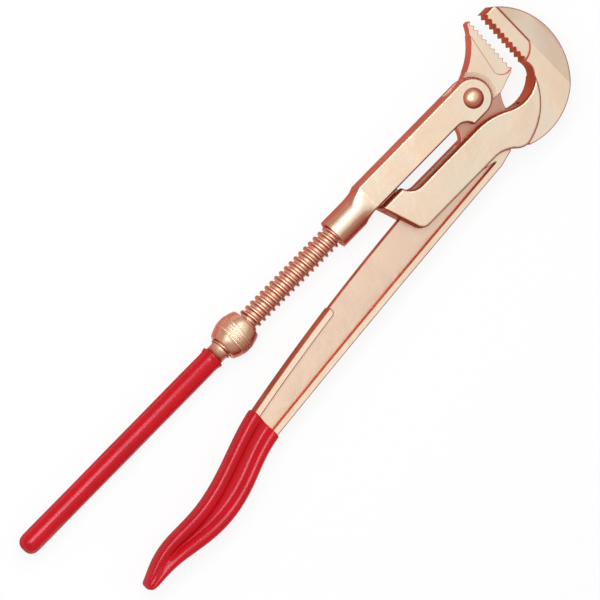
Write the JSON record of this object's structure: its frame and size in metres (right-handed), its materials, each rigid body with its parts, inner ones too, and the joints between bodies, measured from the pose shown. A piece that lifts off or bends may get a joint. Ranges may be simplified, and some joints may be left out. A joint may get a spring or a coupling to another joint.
{
  "type": "pipe wrench",
  "caption": "Two-handled pipe wrench: a toothed hook lever and a moving jaw in a forked yoke that slides on a threaded rod handle, set by a knurled nut.",
  "frame": {"origin": "on the threaded rod's axis, midway between the two rows of teeth as the jaws stand, at mid-thickness", "axes": "+X along the rod towards the jaws, +Y from the hook lever's arm towards the rod, +Z through the thickness; the tool lies flat on its -Z side"},
  "size_m": [0.4301, 0.1055, 0.0247],
  "materials": {
    "forged_bronze": "satin",
    "jaw_bronze": "satin",
    "turned_bronze": "satin",
    "bronze_rod": "satin",
    "pin_steel": "satin",
    "red_dip": "gloss"
  },
  "bodies": {
    "hook": {"hook_lever": "forged_bronze", "hook_grip": "red_dip", "foot_pin": "pin_steel"},
    "rod": {"threaded_rod": "bronze_rod", "rod_grip": "red_dip"},
    "nut": {"adjusting_nut": "turned_bronze"},
    "yoke": {"yoke": "forged_bronze", "jaw_rivet": "turned_bronze"},
    "jaw": {"moving_jaw": "jaw_bronze"}
  },
  "joints": [
    {"name": "handle_swing", "type": "hinge", "parent": "hook", "child": "rod", "pos_m": [-0.1092, 0, 0], "axis": [0, 0, 1], "range_deg": [-1.5, 7]},
    {"name": "yoke_slide", "type": "slide", "parent": "rod", "child": "yoke", "axis": [1, 0, 0], "range_m": [-0.041, 0.004]},
    {"name": "jaw_pivot", "type": "hinge", "parent": "yoke", "child": "jaw", "pos_m": [-0.0334, -0.0012, 0], "axis": [0, 0, 1], "range_deg": [-4, 4]},
    {"name": "nut_spin", "type": "hinge", "parent": "rod", "child": "nut", "pos_m": [-0.228, 0, 0], "axis": [1, 0, 0], "continuous": true}
  ]
}
